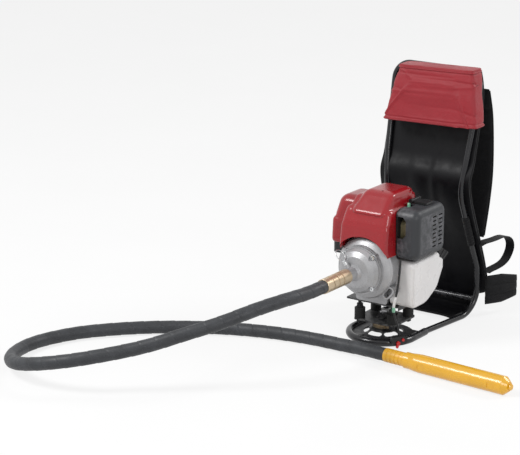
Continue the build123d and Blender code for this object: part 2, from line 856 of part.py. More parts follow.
with BuildPart() as air_base:
    with BuildSketch(facing_right(base_x)):
        air_shape(1.5, 16)
        with Locations((cylinder_y, muffler_z)):
            Circle(throat_d / 2, mode=Mode.SUBTRACT)
        with Locations((choke_y, choke_z)):
            Circle(2 + fit, mode=Mode.SUBTRACT)
    extrude(amount=base_t)
    # ears that hold the latch's pin
    for ear_y in (latch_y - latch_w / 2 - 4.3, latch_y + latch_w / 2 + 0.3):
        with BuildSketch(facing_front(ear_y, latch_pin_x, latch_pin_z)):
            Circle(4.5)
            with Locations((0, -4.5)):
                Rectangle(3, 9)
        extrude(amount=-4)
        with BuildSketch(facing_front(ear_y, latch_pin_x, latch_pin_z)):
            Circle(1.5 + fit)
        extrude(amount=-4, mode=Mode.SUBTRACT)
finish(air_base.part, "air_base")

with BuildPart() as air_element:
    with BuildSketch(facing_right(base_x + base_t)):
        band(-44, 46, 208, 274, 12)
    extrude(amount=34)
finish(air_element.part, "air_element")

with BuildPart() as air_cover:
    with BuildSketch(facing_right(cover_x)):
        air_shape(0, 20)
    extrude(amount=air_far - cover_x)
    fillet(air_cover.faces().sort_by(Axis.X)[-1].edges(), 15)
    with BuildSketch(facing_right(cover_x)):
        air_shape(air_skin, 20 - air_skin)
    extrude(amount=air_far - cover_x - 14, mode=Mode.SUBTRACT)
    with BuildSketch(facing_right(cover_x)):
        air_shape(air_skin + 11, 8)
    extrude(amount=air_far - cover_x - air_skin, mode=Mode.SUBTRACT)
    # notch over the choke lever, and the window at the front's upper inner corner
    with BuildSketch(facing_right(cover_x)):
        band(choke_y - 14, choke_y + 12, choke_z - 10, air_high + 2, 3)
    extrude(amount=11, mode=Mode.SUBTRACT)
    with BuildSketch(facing_front(air_front + 6, cover_x, 262)):
        with BuildLine():
            Polyline((-1, 24), (13, 24), (20, 16), (20, -14), (13, -22), (-1, -22), close=True)
        make_face()
    extrude(amount=10, mode=Mode.SUBTRACT)
    # louvres in the outer face
    with BuildSketch(facing_right(air_far - 6)):
        with Locations((24, 246)):
            with GridLocations(24, 9, 2, 8):
                SlotOverall(15, 3.2)
    extrude(amount=12, mode=Mode.SUBTRACT)
finish(air_cover.part, "air_cover")

with BuildPart() as air_latch:
    with BuildSketch(facing_front(latch_y - latch_w / 2, latch_pin_x, latch_pin_z)):
        Circle(3.6)
    extrude(amount=-latch_w)
    with BuildSketch(facing_front(latch_y - latch_w / 2 - 3.5, latch_pin_x, latch_pin_z)):
        Circle(1.5)
    extrude(amount=-latch_w - 7)
    with BuildSketch(level(air_high + 1.2, 0, latch_y)):
        band(latch_pin_x, latch_pin_x + 36, -latch_w / 2, latch_w / 2, 3)
    extrude(amount=4)
finish(air_latch.part, "air_latch")

with BuildPart() as choke_lever:
    with BuildSketch(facing_right(base_x + base_t + 0.3, choke_y, choke_z)):
        Circle(5.5)
        with Locations((0, 9)):
            RectangleRounded(7, 18, 3)
    extrude(amount=3)
    with BuildSketch(facing_right(base_x, choke_y, choke_z)):
        Circle(2)
    extrude(amount=base_t + 2)
finish(choke_lever.part, "choke_lever")

# ---------------------------------------------------------------- fuel tank
tank_low = plate_surface
tank_left = 44.0
tank_right = 100.0
tank_front = -48.0
tank_rear = 77.0
tank_wall = 3.0
neck_plane = Plane(at(82, 68, tank_top - 18), z_dir=(0.3, 0.5, 0.81))
neck_r = 14.0
neck_h = 22.0
cap_seat = 6.0
cap_r = 17.0
cap_h = 18.0

with BuildPart() as fuel_tank:
    with BuildSketch(facing_right(tank_left)):
        with BuildLine():
            FilletPolyline(
                (tank_front, tank_low),
                (8, tank_low),
                (52, tank_low + 22),
                (tank_rear, tank_low + 62),
                (tank_rear, tank_top),
                (tank_front, tank_top),
                radius=[14, 60, 40, 9, 9, 14],
                close=True,
            )
        make_face()
    extrude(amount=tank_right - tank_left)
    fillet(fuel_tank.faces().sort_by(Axis.X)[-1].edges(), 8)
    # sloping seat and threaded neck at the rear corner
    with BuildSketch(neck_plane.offset(cap_seat)):
        Circle(cap_r + 6)
    extrude(amount=60, mode=Mode.SUBTRACT)
    with BuildSketch(neck_plane):
        Circle(neck_r)
    extrude(amount=neck_h)
    # clearance round the starter
    with BuildSketch(facing_front(case_rear, 0, crank_z)):
        Circle(starter_r + 1)
    extrude(amount=-60, mode=Mode.SUBTRACT)
    # fuel space and the way in through the neck
    with BuildSketch(level(tank_low + 10)):
        band(tank_left + tank_wall, tank_right - tank_wall, tank_front + tank_wall, 6, 10)
    extrude(amount=tank_top - tank_low - 20, mode=Mode.SUBTRACT)
    with BuildSketch(level(tank_low + 50)):
        band(72, tank_right - tank_wall, 0, tank_rear - tank_wall, 10)
    extrude(amount=tank_top - tank_low - 60, mode=Mode.SUBTRACT)
    with BuildSketch(neck_plane):
        Circle(neck_r - 4)
    extrude(amount=neck_h, mode=Mode.SUBTRACT)
finish(fuel_tank.part, "fuel_tank")

with BuildPart() as fuel_cap:
    with BuildSketch(neck_plane.offset(cap_seat + 1.5)):
        Circle(cap_r)
        with PolarLocations(cap_r, 12):
            Circle(1.6)
    extrude(amount=cap_h)
    with BuildSketch(neck_plane.offset(cap_seat + 1.5)):
        Circle(neck_r + 0.3)
    extrude(amount=neck_h - cap_seat, mode=Mode.SUBTRACT)
finish(fuel_cap.part, "fuel_cap")

# ---------------------------------------------------------------- hose, core and vibrating head
ferrule_r = ferrule_d / 2

with BuildPart() as hose_ferrule:
    ring(facing_front(boss_y, 0, crank_z), ferrule_r, hose_bore / 2, boss_y - ferrule_end_y)
    for groove_y in (-178, -196, -214):
        with BuildSketch(facing_front(groove_y, 0, crank_z)):
            Circle(ferrule_r)
            Circle(ferrule_r - 1, mode=Mode.SUBTRACT)
        extrude(amount=2, mode=Mode.SUBTRACT)
    chamfer(hose_ferrule.edges().group_by(Axis.Y)[0].sort_by(SortBy.LENGTH)[-1], 0.7)
finish(hose_ferrule.part, "hose_ferrule")

hose_z = hose_d / 2 + 0.2
head_start = at(98, -148, head_d / 2)
head_way = Vector(cos(radians(head_turn)), sin(radians(head_turn)), 0)

hose_route = [
    at(0, ferrule_end_y, crank_z),
    at(0, -289, crank_z),
    at(-14, -350, 170),
    at(-45, -410, 160),
    at(-90, -464, 138),
    at(-143, -509, 118),
    at(-199, -553, 95),
    at(-256, -598, 80),
    at(-322, -652, 67),
    at(-408, -668, 47),
    at(-485, -640, 27),
    at(-539, -576, 16),
    at(-555, -494, hose_z),
    at(-524, -401, hose_z),
    at(-478, -339, hose_z),
    at(-418, -278, hose_z),
    at(-346, -226, hose_z),
    at(-265, -182, hose_z),
    at(-176, -152, hose_z),
    at(-88, -138, hose_z),
    at(-11, -138, hose_z + 0.6),
    head_start - head_way * 54,
    head_start,
]
hose_radii = route_radii(hose_route)

with BuildPart() as hose:
    tube(hose_route, hose_radii, hose_d, hose_bore)
finish(hose.part, "hose")

with BuildPart() as flex_core:
    tube([at(0, boss_y, crank_z), *hose_route[1:]], hose_radii, core_d)
finish(flex_core.part, "flex_core")

hose_section = pi / 4 * (hose_d**2 - hose_bore**2)
with BuildLine() as hose_line:
    FilletPolyline(*hose_route, radius=hose_radii)
print("hose radii", [round(r) for r in hose_radii])
print("hose length", round(sum(e.length for e in hose_line.edges())))
print("hose volume over section x length", hose.part.volume / hose_section)

head_section = Plane(head_start, x_dir=head_way, z_dir=(head_way.Y, -head_way.X, 0))
head_axis = Axis(head_start, head_way)
head_r = head_d / 2
crimp_r = hose_d / 2 + 0.5
crimp_length = 50.0
nose_start = head_length - nose_length
cavity_r = 15.5
rotor_journal_r = 5.0
seat_width = 8.0
front_seat = collar_length - seat_width
rear_seat = nose_start - seat_width


def across_head(distance):
    """The plane square to the head's axis at a distance from its start."""
    return Plane(head_start + head_way * distance, x_dir=(head_way.Y, -head_way.X, 0), z_dir=head_way)


with BuildPart() as head_collar:
    with BuildSketch(head_section):
        outline(
            (0, core_d / 2 + 1),
            (0, crimp_r),
            (crimp_length, crimp_r),
            (crimp_length, crimp_r + 2.2),
            (crimp_length + 12, crimp_r + 2.2),
            (collar_length - 8, head_r - 0.6),
            (collar_length, head_r - 0.6),
            (collar_length, core_d / 2 + 1),
        )
    revolve(axis=head_axis)
    for i in range(4):
        with BuildSketch(across_head(8 + 10 * i)):
            Circle(crimp_r)
            Circle(crimp_r - 0.8, mode=Mode.SUBTRACT)
        extrude(amount=2.5, mode=Mode.SUBTRACT)
    with BuildSketch(across_head(front_seat)):
        Circle(11)
    extrude(amount=seat_width, mode=Mode.SUBTRACT)
finish(head_collar.part, "head_collar")

with BuildPart() as head_tube:
    ring(across_head(collar_length), head_r, cavity_r, nose_start - collar_length)
    # spanner flats near both ends
    for flat in (collar_length + 4, nose_start - 22):
        with BuildSketch(across_head(flat)):
            with Locations((head_r, 0), (-head_r, 0)):
                Rectangle(2.4, head_d)
        extrude(amount=16, mode=Mode.SUBTRACT)
finish(head_tube.part, "head_tube")

with BuildPart() as head_nose:
    with BuildSketch(head_section):
        outline(
            (nose_start, 0),
            (nose_start, head_r),
            (nose_start + 8, head_r),
            (head_length - 5, head_r - 9),
            (head_length - 5, 6),
            (head_length, 6),
            (head_length, 0),
        )
    revolve(axis=head_axis)
finish(head_nose.part, "head_nose")

with BuildPart() as rotor:
    with BuildSketch(across_head(front_seat - 10)):
        Circle(rotor_journal_r)
    extrude(amount=nose_start - front_seat + 8)
    with BuildSketch(across_head(collar_length + 12)):
        with Locations((0, rotor_throw)):
            Circle(rotor_d / 2)
    extrude(amount=rear_seat - collar_length - 20)
finish(rotor.part, "rotor")

with BuildPart() as rotor_bearings:
    ring(across_head(front_seat), 11, rotor_journal_r + fit, seat_width)
    ring(across_head(rear_seat), cavity_r, rotor_journal_r + fit, seat_width)
finish(rotor_bearings.part, "rotor_bearings")

# ---------------------------------------------------------------- carrying frame
rail_r = rail_d / 2
rail_points = [
    (loop_radius, loop_leg - 24, tube_z),
    (loop_radius, loop_leg + 12, tube_z),
    (90, 247, rail_r),
    (98, 226, 110),
    (91, 152, 292),
    (97, 166, 365),
    (104, 200, 505),
    (104, 209, 548),
]
right_rail = [at(x, y, z) for x, y, z in rail_points]
left_rail = [at(-x, y, z) for x, y, z in reversed(rail_points)]
rail_bends = [120, 50, 120, 90, 120, 120, 34]

with BuildPart() as frame_tube:
    tube(right_rail + left_rail, rail_bends + rail_bends[::-1], rail_d, rail_bore)
finish(frame_tube.part, "frame_tube")

cross_y = 238.0
cross_z = 34.0

with BuildPart() as cross_tube:
    with BuildSketch(facing_right(-82, cross_y, cross_z)):
        Circle(rail_r)
        Circle(rail_bore / 2, mode=Mode.SUBTRACT)
    extrude(amount=164)
finish(cross_tube.part, "cross_tube")

# ---------------------------------------------------------------- backrest
shell_profile = [(168, 5), (256, 12), (240, 110), (164, 292), (178, 365), (212, 505), (222, 554)]
shell_bends = [34, 100, 90, 140, 160]
shell_half = 112.0
lip_half = 72.0

with BuildPart() as backrest_shell:
    strip(facing_right(-shell_half), shell_profile, shell_bends, shell_t, 2 * shell_half)
    with BuildSketch(facing_front(100)) as face_outline:
        outline(
            (-lip_half, 0),
            (lip_half, 0),
            (lip_half, 52),
            (shell_half, 105),
            (shell_half, 560),
            (-shell_half, 560),
            (-shell_half, 105),
            (-lip_half, 52),
        )
        fillet(face_outline.vertices().group_by(Axis.Y)[-1], 44)
    extrude(amount=-200, mode=Mode.INTERSECT)
    # the lip on the floor has round front corners
    with BuildSketch(level(0)):
        with Locations((0, 190)):
            Rectangle(2 * shell_half, 60)
        band(-lip_half, lip_half, 160, 340, 46, Mode.SUBTRACT)
    extrude(amount=30, mode=Mode.SUBTRACT)
finish(backrest_shell.part, "backrest_shell")

pad_half = 52.0
pad_shift = (shell_t + pad_t) / 2 + 2.5
pad_profile = [(y + pad_shift, z) for y, z in ((230, 134), (164, 292), (178, 365), (205, 478))]

with BuildPart() as back_pad:
    strip(facing_right(-pad_half), pad_profile, [80, 100], pad_t, 2 * pad_half)
finish(back_pad.part, "back_pad")

strap_inner = pad_half + 4
strap_profile = [(238, 512), (246, 440), (252, 335), (249, 250), (226, 176)]

with BuildPart() as shoulder_straps:
    for near_side in (strap_inner, -strap_inner - strap_w):
        strip(facing_right(near_side), strap_profile, [200, 120, 60], strap_t, strap_w)
finish(shoulder_straps.part, "shoulder_straps")

hip_low = 24.0
hip_high = 92.0
hip_t = 14.0

with BuildPart() as hip_pads:
    for side in (1, -1):
        with BuildSketch(level(hip_low)):
            with BuildLine():
                FilletPolyline((side * 112, 238), (side * 130, 274), (side * 150, 318), radius=40)
                offset(amount=hip_t / 2, side=Side.BOTH)
            make_face()
        extrude(amount=hip_high - hip_low)
finish(hip_pads.part, "hip_pads")

webbing_w = 22.0
webbing_t = 2.0
webbing_x = 118.0
webbing_profile = [(206, 170), (292, 172), (316, 142), (256, 97)]

with BuildPart() as webbing_loops:
    for near_side in (webbing_x, -webbing_x - webbing_w):
        strip(facing_right(near_side), webbing_profile, [6, 8], webbing_t, webbing_w)
finish(webbing_loops.part, "webbing_loops")

wrap_length = 26.0

with BuildPart() as rail_wraps:
    for side in (1, -1):
        low, high = (at(side * x, y, z) for x, y, z in rail_points[2:4])
        way = (high - low).normalized()
        ring(Plane(low + way * 63, z_dir=way), rail_r + 2, rail_r, wrap_length)
finish(rail_wraps.part, "rail_wraps")

with BuildPart() as tool_bag:
    with BuildSketch(level(430)):
        band(-92, 136, 128, 172, 14)
    with BuildSketch(level(500)):
        band(-82, 126, 134, 184, 14)
    with BuildSketch(level(550)):
        band(-66, 112, 152, 195, 12)
    loft()
    fillet(tool_bag.edges().group_by(Axis.Z)[-1], 5)
finish(tool_bag.part, "tool_bag")

# ---------------------------------------------------------------- throttle control on the base loop
control_turn = radians(-37)
outward = Vector(cos(control_turn), sin(control_turn), 0)
control_r = loop_radius + loop_tube / 2 + 0.4
body_t = 13.0
trigger_z = 14.0
trigger_side = -4.0
button_side = 7.0
button_z = 20.0


def control_plane(distance):
    """A plane facing outward from the swivel axis at the control; its own y is up."""
    return Plane(
        at(0, 0, 0) + outward * distance,
        x_dir=(-outward.Y, outward.X, 0),
        z_dir=outward,
    )


body_face = control_r + body_t

with BuildPart() as throttle_body:
    with BuildSketch(control_plane(control_r)):
        band(-17, 17, 8.5, 27, 8)
    extrude(amount=body_t)
    # saddle over the loop
    with BuildSketch(control_plane(loop_radius - 6)):
        band(-8, 8, loop_tube + 0.2, loop_tube + 4, 1)
    extrude(amount=control_r - loop_radius + 8)
    with BuildSketch(control_plane(body_face - 8)):
        with Locations((button_side, button_z)):
            Circle(3 + fit)
        with Locations((trigger_side, trigger_z)):
            Circle(1.5 + fit)
    extrude(amount=8, mode=Mode.SUBTRACT)
finish(throttle_body.part, "throttle_body")

with BuildPart() as throttle_trigger:
    with BuildSketch(control_plane(body_face + 0.3)):
        with Locations((trigger_side, trigger_z)):
            Circle(4)
        with Locations((trigger_side - 2, trigger_z - 6)):
            RectangleRounded(5, 9, 2, rotation=-20)
    extrude(amount=4)
    with BuildSketch(control_plane(body_face - 6)):
        with Locations((trigger_side, trigger_z)):
            Circle(1.5)
    extrude(amount=8)
finish(throttle_trigger.part, "throttle_trigger")

with BuildPart() as stop_button:
    with BuildSketch(control_plane(body_face - 5)):
        with Locations((button_side, button_z)):
            Circle(3)
    extrude(amount=8)
finish(stop_button.part, "stop_button")

cable_d = 4.5
cable_foot = at(0, 0, 0) + outward * (control_r + 6)
cable_route = [
    Vector(cable_foot.X, cable_foot.Y, 27.4),
    Vector(cable_foot.X, cable_foot.Y, 46),
    at(66, -66, 72),
    at(68, -75, 98),
    at(75, -66, 138),
    at(72, -55, 192.5),
]
cable_radii = route_radii(cable_route)

with BuildPart() as throttle_cable:
    tube(cable_route, cable_radii, cable_d)
finish(throttle_cable.part, "throttle_cable")
print("cable radii", [round(r, 1) for r in cable_radii])
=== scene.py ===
"""Looks of the backpack concrete vibrator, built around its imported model. Metres in Blender.

Places are written in millimetres from the foot of the swivel axis and turned into metres by at().
"""

import json
import math

import bmesh
import bpy
import numpy as np
from mathutils import Matrix, Vector


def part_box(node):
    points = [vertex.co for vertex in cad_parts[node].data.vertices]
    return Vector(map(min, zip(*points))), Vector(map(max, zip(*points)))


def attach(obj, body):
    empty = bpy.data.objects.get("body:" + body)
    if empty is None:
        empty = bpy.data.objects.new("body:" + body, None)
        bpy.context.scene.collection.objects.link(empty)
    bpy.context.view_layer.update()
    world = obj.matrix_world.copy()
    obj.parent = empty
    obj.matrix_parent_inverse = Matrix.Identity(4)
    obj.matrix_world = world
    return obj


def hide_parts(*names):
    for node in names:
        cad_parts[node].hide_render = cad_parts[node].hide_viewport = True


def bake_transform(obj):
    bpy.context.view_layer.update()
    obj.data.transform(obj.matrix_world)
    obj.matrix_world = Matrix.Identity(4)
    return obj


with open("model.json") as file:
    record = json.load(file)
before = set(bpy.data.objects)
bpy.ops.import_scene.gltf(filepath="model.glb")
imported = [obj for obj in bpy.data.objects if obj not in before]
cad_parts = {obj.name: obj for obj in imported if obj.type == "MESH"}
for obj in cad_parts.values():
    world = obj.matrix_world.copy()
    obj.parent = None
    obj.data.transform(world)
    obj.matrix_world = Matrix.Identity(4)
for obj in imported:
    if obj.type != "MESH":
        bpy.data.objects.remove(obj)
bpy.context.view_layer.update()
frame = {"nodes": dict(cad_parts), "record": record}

# ---------------------------------------------------------------- places taken from the frame
SWIVEL_Y = sum(corner[1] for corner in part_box("turntable_ring")) / 2
CRANK_Z = sum(corner[2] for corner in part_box("hose_ferrule")) * 500


def at(x, y, z):
    """A point in metres from millimetres measured from the foot of the swivel axis."""
    return Vector((x / 1000, SWIVEL_Y + y / 1000, z / 1000))


# ---------------------------------------------------------------- materials


class Graph:
    """A small helper that adds and links shader nodes."""

    def __init__(self, name):
        self.material = bpy.data.materials.new(name)
        self.material.use_nodes = True
        self.tree = self.material.node_tree
        self.shader = self.tree.nodes["Principled BSDF"]
        self.bumps = None

    def node(self, kind, **values):
        made = self.tree.nodes.new(kind)
        for key, value in values.items():
            setattr(made, key, value)
        return made

    def link(self, source, target):
        self.tree.links.new(source, target)

    def coordinates(self):
        return self.node("ShaderNodeTexCoord").outputs["Object"]

    def noise(self, scale, detail=4.0, rough=0.5, source=None):
        made = self.node("ShaderNodeTexNoise")
        made.inputs["Scale"].default_value = scale
        made.inputs["Detail"].default_value = detail
        made.inputs["Roughness"].default_value = rough
        self.link(source or self.coordinates(), made.inputs["Vector"])
        return made.outputs["Fac"]

    def wave(self, scale, direction, distortion=0.0):
        made = self.node("ShaderNodeTexWave", wave_type="BANDS", bands_direction=direction)
        made.inputs["Scale"].default_value = scale
        made.inputs["Distortion"].default_value = distortion
        self.link(self.coordinates(), made.inputs["Vector"])
        return made.outputs["Fac"]

    def ramp(self, source, low, high, from_value=0.0, to_value=1.0):
        made = self.node("ShaderNodeMapRange")
        made.inputs["From Min"].default_value = low
        made.inputs["From Max"].default_value = high
        made.inputs["To Min"].default_value = from_value
        made.inputs["To Max"].default_value = to_value
        self.link(source, made.inputs["Value"])
        return made.outputs["Result"]

    def sum_of(self, first, second, operation="ADD"):
        made = self.node("ShaderNodeMath", operation=operation)
        self.link(first, made.inputs[0])
        self.link(second, made.inputs[1])
        return made.outputs["Value"]

    def mix(self, factor, first, second):
        made = self.node("ShaderNodeMix", data_type="RGBA")
        self.link(factor, made.inputs["Factor"])
        for value, socket in ((first, made.inputs[6]), (second, made.inputs[7])):
            if isinstance(value, tuple):
                socket.default_value = (*value, 1.0)
            else:
                self.link(value, socket)
        return made.outputs[2]

    def bump(self, height, strength, distance):
        """Adds a bump on top of those already there."""
        made = self.node("ShaderNodeBump")
        made.inputs["Strength"].default_value = strength
        made.inputs["Distance"].default_value = distance
        self.link(height, made.inputs["Height"])
        if self.bumps:
            self.link(self.bumps, made.inputs["Normal"])
        self.bumps = made.outputs["Normal"]
        self.link(self.bumps, self.shader.inputs["Normal"])


def shade(color, factor):
    return tuple(channel * factor for channel in color)


def finish_of(name, color, rough, metal=0.0, grain=900, bump=0.15, cloud=0.12, wear=None, coat=0.0, gloss=0.5,
              dust=None):
    """A paint, plastic or metal: cloudy colour, uneven gloss, fine grain, light edges and settled dust."""
    g = Graph(name)
    g.shader.inputs["Metallic"].default_value = metal
    g.shader.inputs["Coat Weight"].default_value = coat
    g.shader.inputs["Coat Roughness"].default_value = 0.08
    g.shader.inputs["Specular IOR Level"].default_value = gloss
    cloudy = g.ramp(g.noise(14, 5), 0.3, 0.7)
    base = g.mix(cloudy, shade(color, 1 - cloud), shade(color, 1 + cloud))
    if dust:
        up = g.node("ShaderNodeNewGeometry").outputs["Normal"]
        split = g.node("ShaderNodeSeparateXYZ")
        g.link(up, split.inputs["Vector"])
        facing_up = g.ramp(split.outputs["Z"], 0.3, 1.0, 0.0, 0.5)
        lying = g.sum_of(facing_up, g.ramp(g.noise(40, 6), 0.45, 0.7), "MULTIPLY")
        base = g.mix(lying, base, dust)
    if wear:
        edge = g.ramp(g.node("ShaderNodeNewGeometry").outputs["Pointiness"], 0.52, 0.60)
        base = g.mix(g.sum_of(edge, g.ramp(g.noise(120, 4), 0.4, 0.6), "MULTIPLY"), base, wear)
    g.link(base, g.shader.inputs["Base Color"])
    g.link(g.ramp(g.noise(60, 4), 0.3, 0.7, rough * 0.8, rough * 1.2), g.shader.inputs["Roughness"])
    g.bump(g.noise(grain, 3), bump, 0.0004)
    return g.material


def woven(name, color, thread=520.0, sheen=0.2, rough=0.75, wrinkle=0.25, gloss=0.3, fade=0.25):
    """Woven nylon: crossed threads, soft creases and a slightly faded colour."""
    g = Graph(name)
    g.shader.inputs["Sheen Weight"].default_value = sheen
    g.shader.inputs["Specular IOR Level"].default_value = gloss
    cloudy = g.ramp(g.noise(22, 6, 0.6), 0.35, 0.7)
    base = g.mix(cloudy, shade(color, 1 - fade), shade(color, 1 + fade))
    weave = g.sum_of(g.wave(thread, "X"), g.wave(thread, "Z"), "MULTIPLY")
    g.link(g.mix(weave, shade(color, 0.75), base), g.shader.inputs["Base Color"])
    g.link(g.ramp(g.noise(35, 5), 0.3, 0.7, rough * 0.85, rough), g.shader.inputs["Roughness"])
    g.bump(g.noise(26, 6, 0.55), wrinkle, 0.006)
    g.bump(weave, 0.35, 0.0003)
    return g.material


def cast(name, color):
    """Die-cast aluminium: matt grain, dark pores and faint dirt."""
    g = Graph(name)
    g.shader.inputs["Metallic"].default_value = 0.55
    pores = g.ramp(g.noise(420, 5, 0.7), 0.52, 0.72)
    stain = g.ramp(g.noise(18, 6), 0.4, 0.75)
    base = g.mix(stain, shade(color, 1.1), shade(color, 0.8))
    g.link(g.mix(pores, base, shade(color, 0.6)), g.shader.inputs["Base Color"])
    g.link(g.ramp(g.noise(90, 5), 0.3, 0.7, 0.36, 0.52), g.shader.inputs["Roughness"])
    g.bump(g.noise(650, 4), 0.35, 0.0004)
    return g.material


def wrapped_rubber(name, color):
    """Cured wrapped rubber: cloth print, dull patches and grey dust."""
    g = Graph(name)
    g.shader.inputs["Specular IOR Level"].default_value = 0.4
    patch = g.ramp(g.noise(30, 6, 0.6), 0.35, 0.7)
    base = g.mix(patch, shade(color, 0.75), shade(color, 1.35))
    speck = g.ramp(g.noise(500, 3), 0.62, 0.75)
    g.link(g.mix(speck, base, shade(color, 2.2)), g.shader.inputs["Base Color"])
    g.link(g.ramp(g.noise(45, 5), 0.3, 0.7, 0.42, 0.6), g.shader.inputs["Roughness"])
    g.bump(g.noise(900, 3), 0.4, 0.0004)
    g.bump(g.noise(60, 4), 0.15, 0.002)
    return g.material


MATERIALS = {
    "frame_black": finish_of("frame_black", (0.008, 0.008, 0.010), 0.24, grain=260, bump=0.06,
                             wear=(0.05, 0.05, 0.055), coat=0.15, gloss=0.35),
    "plate_black": finish_of("plate_black", (0.012, 0.012, 0.014), 0.42, grain=500, bump=0.12,
                             wear=(0.08, 0.08, 0.08), gloss=0.3, dust=(0.05, 0.048, 0.045)),
    "zinc": finish_of("zinc", (0.60, 0.61, 0.62), 0.27, metal=0.95),
    "steel": finish_of("steel", (0.5, 0.5, 0.52), 0.32, metal=1.0, grain=400),
    "aluminium": cast("aluminium", (0.38, 0.38, 0.39)),
    "yellow_zinc": finish_of("yellow_zinc", (0.56, 0.45, 0.31), 0.34, metal=0.8, cloud=0.18,
                             grain=300, bump=0.1),
    "cover_red": finish_of("cover_red", (0.30, 0.008, 0.013), 0.24, grain=500, bump=0.02,
                           cloud=0.04, coat=0.25, gloss=0.4),
    "cover_grey": finish_of("cover_grey", (0.026, 0.028, 0.032), 0.45, grain=1500, bump=0.35,
                            cloud=0.06, gloss=0.4,
                            wear=(0.09, 0.09, 0.1)),
    "tank_white": finish_of("tank_white", (0.66, 0.65, 0.65), 0.3, grain=300, bump=0.05, cloud=0.03),
    "black_plastic": finish_of("black_plastic", (0.012, 0.012, 0.013), 0.42, grain=900, bump=0.25, gloss=0.35),
    "rubber_black": finish_of("rubber_black", (0.012, 0.012, 0.012), 0.65, grain=600, bump=0.3, gloss=0.25,
                              dust=(0.05, 0.05, 0.05)),
    "hose_rubber": wrapped_rubber("hose_rubber", (0.030, 0.032, 0.036)),
    "head_yellow": finish_of("head_yellow", (0.72, 0.38, 0.018), 0.3, grain=160, bump=0.12,
                             cloud=0.05, coat=0.3),
    "bag_red": woven("bag_red", (0.34, 0.014, 0.024), thread=700, sheen=0.06, rough=0.5,
                     wrinkle=0.4, gloss=0.35, fade=0.14),
    "fabric_black": woven("fabric_black", (0.006, 0.006, 0.007), thread=520, sheen=0.08,
                          wrinkle=0.45, gloss=0.15),
    "shell_black": finish_of("shell_black", (0.003, 0.003, 0.004), 0.46, grain=120, bump=0.12, gloss=0.16),
    "red_plastic": finish_of("red_plastic", (0.50, 0.01, 0.012), 0.33),
    "green_plastic": finish_of("green_plastic", (0.22, 0.50, 0.34), 0.4),
    "foam": finish_of("foam", (0.2, 0.17, 0.09), 0.9, grain=1800, bump=0.8),
}
SLOT_OF = {part["node"]: part["material_slot"] for part in frame["record"]["subparts"]}

for node_name, node_object in frame["nodes"].items():
    node_object.data.materials.clear()
    node_object.data.materials.append(MATERIALS[SLOT_OF[node_name]])

# ---------------------------------------------------------------- mesh helpers


def put(name, mesh, slot, body, replaced=(), crease_angle=40):
    """A finished piece: its finish, its body, the CAD nodes that it stands for, and crisp edges."""
    mesh.name = name
    mesh.materials.clear()
    mesh.materials.append(MATERIALS[slot])
    mesh.shade_smooth()
    mesh.set_sharp_from_angle(angle=math.radians(crease_angle))
    made = bpy.data.objects.new(name, mesh)
    bpy.context.collection.objects.link(made)
    if body:
        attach(made, body)
    if replaced:
        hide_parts(*replaced)
    return made


def evaluated(obj):
    """The mesh of an object with its modifiers applied; the object itself goes."""
    graph = bpy.context.evaluated_depsgraph_get()
    mesh = bpy.data.meshes.new_from_object(obj.evaluated_get(graph))
    mesh.transform(obj.matrix_world)
    bpy.data.objects.remove(obj)
    return mesh


def loose(mesh):
    made = bpy.data.objects.new("work", mesh)
    bpy.context.collection.objects.link(made)
    return made


def joined(meshes):
    """One mesh from several."""
    bm = bmesh.new()
    for mesh in meshes:
        bm.from_mesh(mesh)
    out = bpy.data.meshes.new("joined")
    bm.to_mesh(out)
    bm.free()
    return out


def block(low, high, bevel=0.0, segments=5):
    """A solid between a lower and an upper rectangle (x0, x1, y0, y1, z), with rounded edges."""
    bm = bmesh.new()
    for x0, x1, y0, y1, z in (low, high):
        for x, y in ((x0, y0), (x1, y0), (x1, y1), (x0, y1)):
            bm.verts.new(at(x, y, z))
    bmesh.ops.convex_hull(bm, input=bm.verts)
    bmesh.ops.dissolve_limit(bm, angle_limit=0.01, verts=bm.verts, edges=bm.edges)
    if bevel:
        bmesh.ops.bevel(bm, geom=bm.edges[:], offset=bevel / 1000, segments=segments, profile=0.5,
                        affect="EDGES", clamp_overlap=True)
    mesh = bpy.data.meshes.new("block")
    bm.to_mesh(mesh)
    bm.free()
    return mesh


def rod(start, end, radius, end_radius=None, segments=32):
    """A closed cylinder or cone between two points in metres; radii in millimetres."""
    way = end - start
    bm = bmesh.new()
    turn = way.to_track_quat("Z", "Y").to_matrix().to_4x4()
    bmesh.ops.create_cone(bm, cap_ends=True, segments=segments, radius1=radius / 1000,
                          radius2=(radius if end_radius is None else end_radius) / 1000, depth=way.length,
                          matrix=Matrix.Translation((start + end) / 2) @ turn)
    mesh = bpy.data.meshes.new("rod")
    bm.to_mesh(mesh)
    bm.free()
    return mesh


def fused(meshes, voxel, rounds):
    """Several overlapping solids grown together with soft joints."""
    work = loose(joined(meshes))
    remesh = work.modifiers.new("remesh", "REMESH")
    remesh.mode = "VOXEL"
    remesh.voxel_size = voxel / 1000
    smooth = work.modifiers.new("smooth", "SMOOTH")
    smooth.factor = 0.5
    smooth.iterations = rounds
    return evaluated(work)


def cut(mesh, cutters):
    """A mesh less several others."""
    work = loose(mesh)
    tools = [loose(cutter) for cutter in cutters]
    for tool in tools:
        boolean = work.modifiers.new("cut", "BOOLEAN")
        boolean.operation = "DIFFERENCE"
        boolean.solver = "MANIFOLD"
        boolean.object = tool
    out = evaluated(work)
    for tool in tools:
        bpy.data.objects.remove(tool)
    return out


